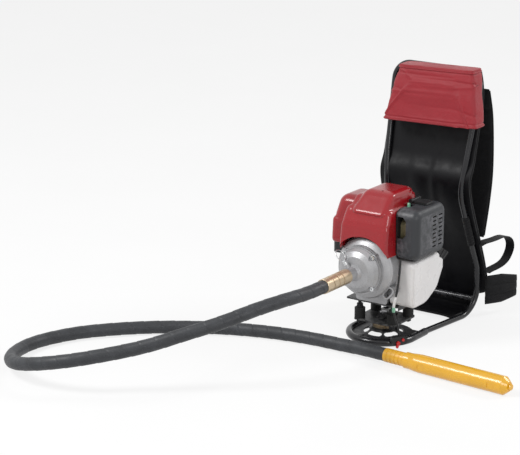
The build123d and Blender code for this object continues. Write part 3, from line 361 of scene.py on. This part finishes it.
def through(points, count):
    """Evenly spread points on the smooth curve that passes through the given ones."""
    p = np.array(points, float)
    p = np.vstack([2 * p[0] - p[1], p, 2 * p[-1] - p[-2]])
    out = []
    for i in range(1, len(p) - 2):
        for t in np.linspace(0, 1, 24, endpoint=False):
            a, b, c, d = p[i - 1 : i + 3]
            square, cube = 2 * a - 5 * b + 4 * c - d, 3 * b - a - 3 * c + d
            out.append(0.5 * (2 * b + (c - a) * t + square * t**2 + cube * t**3))
    out.append(p[-2])
    out = np.array(out)
    run = np.concatenate([[0], np.cumsum(np.linalg.norm(np.diff(out, axis=0), axis=1))])
    where = np.linspace(0, run[-1], count)
    return np.stack([np.interp(where, run, out[:, k]) for k in range(out.shape[1])], axis=1)


def grid_mesh(points, closed=False, caps=False):
    """A mesh from rows of points in metres; each row closes on itself if closed."""
    rows, columns = points.shape[:2]
    faces = []
    for i in range(rows - 1):
        for j in range(columns if closed else columns - 1):
            k = (j + 1) % columns
            faces.append((i * columns + j, i * columns + k, (i + 1) * columns + k, (i + 1) * columns + j))
    if caps:
        faces.append(tuple(reversed(range(columns))))
        faces.append(tuple((rows - 1) * columns + j for j in range(columns)))
    mesh = bpy.data.meshes.new("grid")
    mesh.from_pydata([tuple(p) for p in points.reshape(-1, 3)], [], faces)
    mesh.validate()
    return mesh


def pipe(points, radius, sides=10, radius_at=None):
    """A round tube along points in metres, closed at both ends; the radius in millimetres may vary."""
    p = np.array([tuple(q) for q in points], float)
    way = np.gradient(p, axis=0)
    way /= np.linalg.norm(way, axis=1)[:, None]
    side = np.cross(way[0], (0.0, 0.0, 1.0) if abs(way[0][2]) < 0.9 else (1.0, 0.0, 0.0))
    angles = np.linspace(0, 2 * math.pi, sides, endpoint=False)
    run = np.concatenate([[0], np.cumsum(np.linalg.norm(np.diff(p, axis=0), axis=1))])
    rings = []
    for i in range(len(p)):
        side = side - way[i] * (side @ way[i])
        side /= np.linalg.norm(side)
        up = np.cross(way[i], side)
        r = np.full(sides, radius) if radius_at is None else radius_at(run[i], angles)
        rings.append(p[i] + (np.outer(np.cos(angles) * r, side) + np.outer(np.sin(angles) * r, up)) / 1000)
    return grid_mesh(np.array(rings), closed=True, caps=True)


def crowded(cells):
    """Values from -1 to 1 that crowd towards both ends, where a pad turns over its edge."""
    even = np.linspace(-1, 1, cells + 1)
    return np.sin(even * math.pi / 2) * 0.35 + even * 0.65


def pillow(centre, outward, thick, cells):
    """A closed pad: centre(u, v), outward(u, v) and thick(u, v) for u and v from -1 to 1, in mm."""
    us, vs = crowded(cells[0]), crowded(cells[1])
    sides = []
    for sign in (1, -1):
        rows = []
        for u in us:
            row = []
            for v in vs:
                middle = np.array(centre(u, v), float)
                row.append(middle + np.array(outward(u, v), float) * sign * thick(u, v, sign))
            rows.append(row)
        points = np.array(rows) / 1000
        points[:, :, 1] += SWIVEL_Y
        if sign < 0:
            points = points[:, ::-1]
        sides.append(grid_mesh(points))
    bm = bmesh.new()
    for side in sides:
        bm.from_mesh(side)
    bmesh.ops.remove_doubles(bm, verts=bm.verts, dist=0.0002)
    bmesh.ops.recalc_face_normals(bm, faces=bm.faces)
    mesh = bpy.data.meshes.new("pillow")
    bm.to_mesh(mesh)
    bm.free()
    return mesh


def subdivided(mesh):
    """The mesh with one level of subdivision."""
    work = loose(mesh)
    work.modifiers.new("fine", "SUBSURF").levels = 1
    return evaluated(work)

# ---------------------------------------------------------------- moulded red top cover


def top_cover():
    """Apron over the cylinder, left lobe and dome, grown together and cut clear of what it covers."""
    apron = block((-57, 60, -96, 47, 196), (-55, 59, -89, 46, 268), 9)
    shoulder = block((-56, 60, -92, 46, 258), (-50, 58, -76, 44, 300), 12)
    lobe = block((-101, -44, -56, 44, 203), (-100, -40, -54, 43, 262), 10)
    lobe_top = block((-101, -30, -55, 44, 250), (-88, -28, -42, 38, 308), 17)
    dome_foot = block((-46, 53, -80, 44, 285), (-42, 50, -52, 40, 318), 9)
    dome = block((-36, 51, -91, 42, 286), (-22, 49, -48, 31, 330), 11)
    grown = fused([apron, shoulder, lobe, lobe_top, dome_foot, dome], 1.9, 5)
    left_valley = through(
        [at(-64, -104, 232), at(-55, -86, 276), at(-50, -52, 303), at(-46, -6, 315), at(-42, 50, 318)], 40
    )
    front_valley = through(
        [at(58, -104, 268), at(44, -99, 290), at(20, -97, 300), at(-16, -96, 300), at(-34, -84, 296)], 30
    )
    valley = [pipe(left_valley, 4.0), pipe(front_valley, 2.6)]
    inside = [
        block((-54, 57, -91, 52, 180), (-52, 56, -84, 52, 256), 6),
        block((-97, -40, -53, 46, 190), (-95, -34, -50, 40, 252), 6),
        rod(at(0, -130, CRANK_Z), at(0, -70, CRANK_Z), 67, segments=96),
        rod(at(0, -125, CRANK_Z), at(0, -86, CRANK_Z), 70, segments=96),
    ]
    openings = [
        block((40, 44, 14, 34, 318), (41, 45, 14, 34, 345), 1),
        block((46.5, 50, 12, 30, 318), (47.5, 51, 12, 30, 345), 1),
        rod(at(17, -40, 340), at(17, -40, 322), 2.4, segments=20),
    ]
    return cut(grown, valley + inside + openings)


put("cover_shell", top_cover(), "cover_red", "engine", ("top_cover",), 50)

# ---------------------------------------------------------------- tool bag


def soft_noise(x, y, z, seed):
    """Smooth uneven values between about -1 and 1."""
    return (
        math.sin(x * 0.061 + y * 0.043 + seed * 1.7)
        + math.sin(y * 0.083 - z * 0.052 + seed * 2.9)
        + math.sin(z * 0.071 + x * 0.037 - seed * 0.8)
    ) / 3


def crease(value, place, width, depth):
    """A fold line: a narrow ridge or valley across value."""
    return depth * math.exp(-(((value - place) / width) ** 2))


BAG_BOTTOM, BAG_TOP = 437, 555


def bag_outline(t, angle):
    """A point on the bag's side wall at height t from 0 to 1; it hangs fuller at the bottom."""
    full = 0.5 - 0.5 * math.cos(math.pi * min(1, t * 1.15))
    x0, x1 = -90 + 26 * t, 136 - 22 * t
    y0, y1 = 128 + 22 * t, 173 + 20 * t
    middle_x, middle_y = (x0 + x1) / 2, (y0 + y1) / 2
    c, s = math.cos(angle), math.sin(angle)
    power = 0.16
    x = middle_x + (x1 - x0) / 2 * math.copysign(abs(c) ** power, c)
    y = middle_y + (y1 - y0) / 2 * math.copysign(abs(s) ** 0.24, s)
    front = max(0.0, -s)
    y -= front * 4.0 * math.sin(math.pi * t) * (1 - abs((x - middle_x) / 120) ** 3) * full
    return x, y


def bag_mesh():
    rows, columns = 84, 232
    points = np.zeros((rows, columns, 3))
    for i in range(rows):
        t = i / (rows - 1)
        for j in range(columns):
            angle = 2 * math.pi * (j + 0.5) / columns
            x, y = bag_outline(t, angle)
            z = BAG_BOTTOM + (BAG_TOP - BAG_BOTTOM) * t + 6 * (x + 90) / 226
            across = (x + 90) / 226
            front = y < 155
            push = 1.6 * soft_noise(x * 1.5, y, z * 1.7, 1)
            if front:
                push += crease(z - 470 - 34 * across, 26, 3.4, 1.4)
                push += crease(z - 520 + 46 * across, -8, 2.8, -1.2)
                push += crease(x + 0.55 * (z - 490), 92, 3.4, 3.6) + crease(x - 0.8 * (z - 500), -46, 3.8, 3.0)
                push += crease(x + 1.4 * (z - 500), 10, 4.2, 2.6) + crease(z, 541 - 9 * across, 2.2, -2.4)
                push += crease(x - 0.2 * (z - 500), 58, 2.6, -1.3) * (1 if z < 500 else 0.3)
            seam = crease(t, 0.065, 0.012, -1.8) + crease(t, 0.93, 0.010, -1.6)
            out = Vector((x - 25, (y - 160) * 3.2, 0)).normalized()
            points[i, j] = at(x + out.x * (push + seam), y + out.y * (push + seam), z)
    lid = lid_rows(points[-1], 16, 5.0)
    floor_rows = lid_rows(points[0], 8, -2.5)[::-1]
    return grid_mesh(np.concatenate([floor_rows, points, lid]), closed=True, caps=True)


def lid_rows(rim, count, rise):
    """Rows that close a rim towards its middle line, crowned by rise mm."""
    middle = rim.mean(axis=0)
    rows = []
    for i in range(1, count + 1):
        s = i / (count + 1)
        row = rim.copy()
        row[:, 0] = middle[0] + (rim[:, 0] - middle[0]) * (1 - s * 0.55)
        row[:, 1] = middle[1] + (rim[:, 1] - middle[1]) * (1 - s)
        ripple = 0.6 + 0.4 * np.cos((rim[:, 0] - middle[0]) * 40)
        row[:, 2] += rise / 1000 * math.sin(s * math.pi / 2) * ripple
        rows.append(row)
    return np.array(rows)


put("bag_shell", bag_mesh(), "bag_red", "frame", ("tool_bag",), 70)


def bag_line(t, proud, count=160, from_angle=0.0, turn=2 * math.pi):
    """Points round the bag at height t, a little proud of its wall."""
    line = []
    for k in range(count):
        angle = from_angle + turn * k / (count - 1)
        x, y = bag_outline(t, angle)
        out = Vector((x - 25, (y - 160) * 3.2, 0)).normalized()
        z = BAG_BOTTOM + (BAG_TOP - BAG_BOTTOM) * t + 6 * (x + 90) / 226
        line.append(at(x + out.x * proud, y + out.y * proud, z))
    return line


def flat_strip(points, width, thick, normals):
    """Flat webbing along points in metres; its face turns with the given normals."""
    p = np.array([tuple(q) for q in points])
    n = np.array([tuple(q) for q in normals], float)
    way = np.gradient(p, axis=0)
    way /= np.linalg.norm(way, axis=1)[:, None]
    n -= way * np.sum(n * way, axis=1)[:, None]
    n /= np.linalg.norm(n, axis=1)[:, None]
    side = np.cross(way, n)
    half_w, half_t = width / 2000, thick / 2000
    top = [(-0.97, 1), (-0.5, 1), (0, 1), (0.5, 1), (0.97, 1)]
    profile = [(-1, 0), *top, (1, 0), *((a, -b) for a, b in reversed(top))]
    rings = np.array(
        [[p[i] + side[i] * a * half_w + n[i] * b * half_t for a, b in profile] for i in range(len(p))]
    )
    return grid_mesh(rings, closed=True, caps=True)


put("bag_piping", pipe(bag_line(0.955, 0.6), 1.7, 8), "bag_red", "frame")
zip_line = bag_line(0.72, 0.2, 60, -0.4, 0.8)
zip_face = [(p.x - 0.025, (p.y - SWIVEL_Y - 0.16) * 3.2, 0) for p in zip_line]
put("bag_zip", flat_strip(zip_line, 3.4, 1.2, zip_face), "fabric_black", "frame")
put("bag_hem", pipe(bag_line(0.02, 0.4), 1.6, 8), "bag_red", "frame")

# ---------------------------------------------------------------- backrest shell and its sewn edge
SHELL = ((168, 5), (256, 12), (240, 110), (164, 292), (178, 365), (212, 505), (220, 545))
SHELL_HALF = 110


SHELL_LINE = through(SHELL, 240)
SHELL_WAYS = np.gradient(SHELL_LINE, axis=0)


def shell_spine(u):
    """The shell's middle line in side view (y, z) and its direction; u runs from 0 at the floor lip to 1."""
    place = u * (len(SHELL_LINE) - 1)
    i = min(len(SHELL_LINE) - 2, int(place))
    middle = SHELL_LINE[i] + (SHELL_LINE[i + 1] - SHELL_LINE[i]) * (place - i)
    return middle, SHELL_WAYS[i] / np.linalg.norm(SHELL_WAYS[i])


def shell_point(u, v, side):
    """A point of the shell: v runs across from -1 to 1; side is 1 at the front face and -1 behind."""
    spine, way = shell_spine(u)
    lip = max(0.0, min(1.0, (spine[1] - 34) / 20))
    taper = 1 - 0.16 * max(0.0, (spine[1] - 470) / 84) ** 2
    half = (72 + (SHELL_HALF - 72) * (3 * lip**2 - 2 * lip**3)) * taper
    x = v * half
    rim = abs(v) ** 6
    fold = 0.0
    if spine[1] > 60:
        fading = math.exp(-(((spine[1] - 330) / 170) ** 2))
        fold = 2.2 * math.sin(x * 0.085 + spine[1] * 0.012) * (1 - rim) * fading
        fold += 3.0 * math.exp(-(((x - 22 - 0.05 * (spine[1] - 300)) / 9) ** 2)) * (1 - rim)
        fold -= 2.4 * math.exp(-(((x + 38 + 0.08 * (spine[1] - 300)) / 12) ** 2)) * (1 - rim)
    normal = np.array([way[1], -way[0]])
    y, z = spine + normal * (side * (2.4 + rim) - 4.5 + 3.3 * rim - 0.6 * fold)
    return x, y, z


def pack_shell():
    """Black vinyl over a stiff sheet, with soft upright folds."""
    rows, columns = 150, 60
    faces = []
    for side in (1, -1):
        grid = np.zeros((rows, columns, 3))
        for i in range(rows):
            for j in range(columns):
                v = -1 + 2 * j / (columns - 1)
                x, y, z = shell_point(i / (rows - 1), v, side)
                grid[i, j] = at(x, y, max(3.5, z))
        faces.append(grid)
    loop = np.concatenate([faces[0], faces[1][:, ::-1]], axis=1)
    return grid_mesh(loop, closed=True, caps=True)


put("pack_shell", pack_shell(), "shell_black", "frame", ("backrest_shell",), 60)


EDGE_START = 0.20


def shell_edge(sign, inset, count=150):
    """Points up one edge of the shell's front face; inset is the share of the half width."""
    line = []
    for k in range(count):
        u = EDGE_START + (1 - EDGE_START) * k / (count - 1)
        line.append(at(*shell_point(u, sign * inset, 1)))
    return line


for sign, word in ((-1, "left"), (1, "right")):
    put(f"shell_binding_{word}", pipe(shell_edge(sign, inset=0.985), 3.0, 10), "fabric_black", "frame")
    stitches = []
    edge = shell_edge(sign, inset=0.90, count=420)
    for k in range(0, 416, 4):
        ahead = edge[k + 2] - edge[k]
        stitches.append(pipe([edge[k], edge[k] + ahead * 0.5, edge[k] + ahead], 0.55, 5))
    put(f"shell_stitches_{word}", joined(stitches), "cover_grey", "frame")

# ---------------------------------------------------------------- cushions and straps


def side_curve(points):
    line = through(points, 200)

    def where(u):
        k = (u + 1) / 2 * 199
        i = min(198, int(k))
        way = line[i + 1] - line[i]
        way = way / np.linalg.norm(way)
        return line[i] + (line[i + 1] - line[i]) * (k - i), way

    return where


def cushion(name, profile, x0, x1, thick, nodes, channels):
    """A crowned pad along a side profile (y, z): sewn channels cross it, and its edge is bound."""
    where = side_curve(profile)

    def centre(u, v):
        (y, z), _ = where(u)
        return (x0 + x1) / 2 + v * (x1 - x0) / 2, y, z

    def outward(u, v):
        _, way = where(u)
        return 0.0, way[1], -way[0]

    def thick_at(u, v, sign):
        edge = (1 - abs(u) ** 9) * (1 - abs(v) ** 5)
        body = max(0.0, edge) ** 0.5
        groove = sum(math.exp(-(((u - c) / 0.035) ** 2)) for c in channels)
        return thick / 2 * body * (1 - 0.42 * min(1, groove) * (1 if sign > 0 else 0.4))

    mesh = subdivided(pillow(centre, outward, thick_at, (90, 22)))
    made = put(name, mesh, "fabric_black", "frame", nodes, 70)
    for v, word in ((-0.985, "left"), (0.985, "right")):
        edge = [at(*centre(u, v)) for u in np.linspace(-0.97, 0.97, 90)]
        put(f"{name}_binding_{word}", pipe(edge, 1.8, 8), "fabric_black", "frame")


cushion("cushion_back", ((247, 130), (190, 292), (203, 365), (229, 482)), -51, 51, 19,
        ("back_pad",), (-0.62, -0.28, 0.06, 0.40, 0.72))
STRAP = ((233, 508), (252, 440), (259, 335), (250, 262), (229, 180))
for sign, word in ((-1, "left"), (1, "right")):
    x0, x1 = sorted((sign * 57, sign * 111))
    nodes = ("shoulder_straps",) if sign > 0 else ()
    cushion(f"strap_{word}", STRAP, x0, x1, 12.5, nodes, (-0.7, -0.35, 0.0, 0.35, 0.7))


def hip_pad(sign, word):
    """A curved wing that wraps the hip, standing on its long edge."""
    plan = side_curve(((sign * 112, 240), (sign * 131, 274), (sign * 149, 316)))

    def centre(u, v):
        (x, y), _ = plan(u)
        return x, y, 58 + v * (33 - 9 * max(0.0, u))

    def outward(u, v):
        _, way = plan(u)
        return way[1] * sign, -way[0] * sign, 0.0

    def thick_at(u, v, side):
        edge = (1 - abs(u) ** 7) * (1 - abs(v) ** 5)
        groove = sum(math.exp(-(((v - c) / 0.10) ** 2)) for c in (-0.35, 0.35))
        return 6.6 * max(0.0, edge) ** 0.5 * (1 - 0.4 * min(1, groove))

    mesh = subdivided(pillow(centre, outward, thick_at, (40, 30)))
    made = put(f"hip_pad_{word}", mesh, "fabric_black", "frame", ("hip_pads",) if sign > 0 else (), 70)


for sign, word in ((-1, "left"), (1, "right")):
    hip_pad(sign, word)

# ---------------------------------------------------------------- flat webbing
WEBBING = (
    (211, 168), (228, 173), (262, 177), (292, 172), (312, 158), (316, 140), (300, 121), (272, 107), (247, 97),
)
for sign, word in ((-1, "left"), (1, "right")):
    flat = through(WEBBING, 90)
    line = []
    for k, (y, z) in enumerate(flat):
        s = k / 89
        held = math.exp(-((s / 0.13) ** 2)) + math.exp(-(((1.0 - s) / 0.13) ** 2))
        line.append(at(sign * (129 - 20 * held), y, z))
    ways = np.gradient(np.array([tuple(p) for p in line]), axis=0)
    face = [(0, -w[2], w[1]) for w in ways]
    put(f"webbing_{word}", flat_strip(line, 21, 1.9, face), "fabric_black", "frame",
        ("webbing_loops",) if sign > 0 else (), 60)

# ---------------------------------------------------------------- fabric sleeves on the rails
RAIL_R = 6.35
for sign, word in ((-1, "left"), (1, "right")):
    low, high = at(sign * 98, 226, 110), at(sign * 91, 152, 292)
    way = (high - low).normalized()
    wrap = [low + way * (0.064 + 0.072 * k / 60) for k in range(61)]

    def wrinkled(run, angles):
        rings = 0.35 * np.sin(run * 900 + 2 * np.sin(angles))
        return RAIL_R + 1.5 + rings + 0.15 * np.sin(3 * angles + run * 300)

    put(f"rail_wrap_{word}", pipe(wrap, RAIL_R, 36, wrinkled), "fabric_black", "frame",
        ("rail_wraps",) if sign > 0 else (), 80)

# ---------------------------------------------------------------- hose
HOSE_D = 0.028
HEAD_WAY = Vector((math.cos(math.radians(-4)), math.sin(math.radians(-4)), 0))
HEAD_START = at(98, -148, 19)
HOSE_ROUTE = [
    at(0, -237, 170),
    at(0, -289, 170),
    at(-14, -350, 170),
    at(-45, -410, 160),
    at(-90, -464, 138),
    at(-143, -509, 118),
    at(-199, -553, 95),
    at(-256, -598, 80),
    at(-322, -652, 67),
    at(-408, -668, 47),
    at(-485, -640, 27),
    at(-539, -576, 16),
    at(-555, -494, 14.2),
    at(-524, -401, 14.2),
    at(-478, -339, 14.2),
    at(-418, -278, 14.2),
    at(-346, -226, 14.2),
    at(-265, -182, 14.2),
    at(-176, -152, 14.2),
    at(-88, -138, 14.2),
    at(-11, -138, 14.8),
    HEAD_START - HEAD_WAY * 0.054,
    HEAD_START,
]


def spline_line(route, steps):
    """Points read along the smooth spline that has the route's points as its control points."""
    curve = bpy.data.curves.new("route", "CURVE")
    curve.dimensions = "3D"
    spline = curve.splines.new("NURBS")
    spline.points.add(len(route) - 1)
    for slot, point in zip(spline.points, route):
        slot.co = (*point, 1.0)
    spline.order_u = 3
    spline.use_endpoint_u = True
    spline.resolution_u = steps
    line = evaluated(bpy.data.objects.new("route", curve))
    return [vertex.co.copy() for vertex in line.vertices]


WRAP_PITCH = 33.0


def hose_radius(run, angles):
    """The wrapped cover: a shallow groove winds round the hose where the curing tape overlapped."""
    phase = (run * 1000 - angles / (2 * math.pi) * WRAP_PITCH) % WRAP_PITCH
    step = 0.55 * phase / WRAP_PITCH
    groove = 0.55 * np.exp(-((np.minimum(phase, WRAP_PITCH - phase) / 1.3) ** 2))
    return HOSE_D * 500 - 0.55 + step - groove


hose_line = spline_line(HOSE_ROUTE, 52)
hose_mesh = pipe(hose_line, HOSE_D * 500, 40, hose_radius)
hose = put("hose_tube", hose_mesh, "hose_rubber", "engine", ("hose", "flex_core"), 80)

# ---------------------------------------------------------------- throttle cable
CABLE_D = 0.0045
CONTROL_WAY = Vector((math.cos(math.radians(-37)), math.sin(math.radians(-37)), 0))
CABLE_FOOT = CONTROL_WAY * 86.4
CABLE_ROUTE = [
    at(CABLE_FOOT.x, CABLE_FOOT.y, 27.4),
    at(CABLE_FOOT.x, CABLE_FOOT.y, 46),
    at(66, -66, 72),
    at(68, -75, 98),
    at(75, -66, 138),
    at(72, -55, 192.5),
]
cable_line = spline_line(CABLE_ROUTE, 24)


def along_cable(name, slot, from_z, to_z, radius, nodes=()):
    """A sleeve on the cable between two heights; it follows the cable's bends."""
    line = [p for p in cable_line if from_z <= p.z * 1000 <= to_z]
    made = put(name, pipe(line, radius, 16), slot, None, nodes, 80)
    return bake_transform(made)


connector = along_cable("cable_connector", "green_plastic", 84, 96, 3.4)
tube = along_cable("cable_tube", "tank_white", 94, 118, 2.9)
cable = along_cable("cable_sleeve", "black_plastic", 27, 193, CABLE_D * 500, ("throttle_cable",))

# ---------------------------------------------------------------- stage, light and camera


def area_light(name, place, target, size, power):
    lamp = bpy.data.lights.new(name, "AREA")
    lamp.shape = "DISK"
    lamp.size = size
    lamp.energy = power
    made = bpy.data.objects.new(name, lamp)
    made.location = place
    made.rotation_euler = (Vector(target) - Vector(place)).to_track_quat("-Z", "Y").to_euler()
    bpy.context.collection.objects.link(made)


def plain_rays(nodes, links):
    """1 for the rays that show the backdrop itself: camera, glossy and transmission rays."""
    rays = nodes.new("ShaderNodeLightPath")
    total = rays.outputs["Is Camera Ray"]
    for word in ("Is Glossy Ray", "Is Transmission Ray"):
        larger = nodes.new("ShaderNodeMath")
        larger.operation = "MAXIMUM"
        links.new(total, larger.inputs[0])
        links.new(rays.outputs[word], larger.inputs[1])
        total = larger.outputs["Value"]
    return total


def floor_material():
    """A white sweep that keeps the object's shadow."""
    g = Graph("floor_pale")
    g.shader.inputs["Roughness"].default_value = 0.9
    g.shader.inputs["Specular IOR Level"].default_value = 0.1
    pale = g.mix(g.ramp(g.noise(3), 0.3, 0.7), (0.84, 0.84, 0.84), (0.88, 0.88, 0.88))
    g.link(pale, g.shader.inputs["Base Color"])
    white = g.node("ShaderNodeEmission")
    blend = g.node("ShaderNodeMixShader")
    share = g.ramp(plain_rays(g.tree.nodes, g.tree.links), 0, 1, 0, 0.8)
    g.link(share, blend.inputs["Fac"])
    g.link(g.shader.outputs["BSDF"], blend.inputs[1])
    g.link(white.outputs["Emission"], blend.inputs[2])
    g.link(blend.outputs["Shader"], g.tree.nodes["Material Output"].inputs["Surface"])
    return g.material


def stage():
    bpy.ops.mesh.primitive_plane_add(size=30, location=(0, 0, -0.0005))
    floor = bpy.context.object
    floor.name = "floor"
    floor.data.materials.append(floor_material())
    world = bpy.data.worlds.new("studio")
    bpy.context.scene.world = world
    world.use_nodes = True
    nodes, links = world.node_tree.nodes, world.node_tree.links
    soft = nodes["Background"]
    soft.inputs["Color"].default_value = (1, 1, 1, 1)
    soft.inputs["Strength"].default_value = 0.42
    white = nodes.new("ShaderNodeBackground")
    white.inputs["Color"].default_value = (1, 1, 1, 1)
    white.inputs["Strength"].default_value = 1.0
    choice = nodes.new("ShaderNodeMixShader")
    links.new(plain_rays(nodes, links), choice.inputs["Fac"])
    links.new(soft.outputs["Background"], choice.inputs[1])
    links.new(white.outputs["Background"], choice.inputs[2])
    links.new(choice.outputs["Shader"], nodes["World Output"].inputs["Surface"])
    area_light("key", (-1.5, -2.2, 2.7), (0, 0, 0.2), 1.2, 75)
    area_light("fill", (2.6, -1.8, 1.4), (0, 0, 0.2), 1.2, 26)
    area_light("rim", (1.6, 1.8, 2.2), (0, 0, 0.3), 0.9, 36)


def camera():
    azimuth, elevation = math.radians(35), math.radians(16)
    back = Vector(
        (math.sin(azimuth) * math.cos(elevation), -math.cos(azimuth) * math.cos(elevation), math.sin(elevation))
    )
    right = Vector((math.cos(azimuth), math.sin(azimuth), 0))
    up = back.cross(right)
    lens = bpy.data.cameras.new("camera")
    lens.sensor_width = 36
    lens.lens = 138.5
    lens.clip_end = 50
    made = bpy.data.objects.new("camera", lens)
    turn = Matrix((right, up, back)).transposed().to_4x4()
    made.matrix_world = Matrix.Translation((2.0984, -3.5421, 1.3953)) @ turn
    bpy.context.collection.objects.link(made)
    bpy.context.scene.camera = made


stage()
camera()
bpy.context.scene.view_settings.view_transform = "Standard"
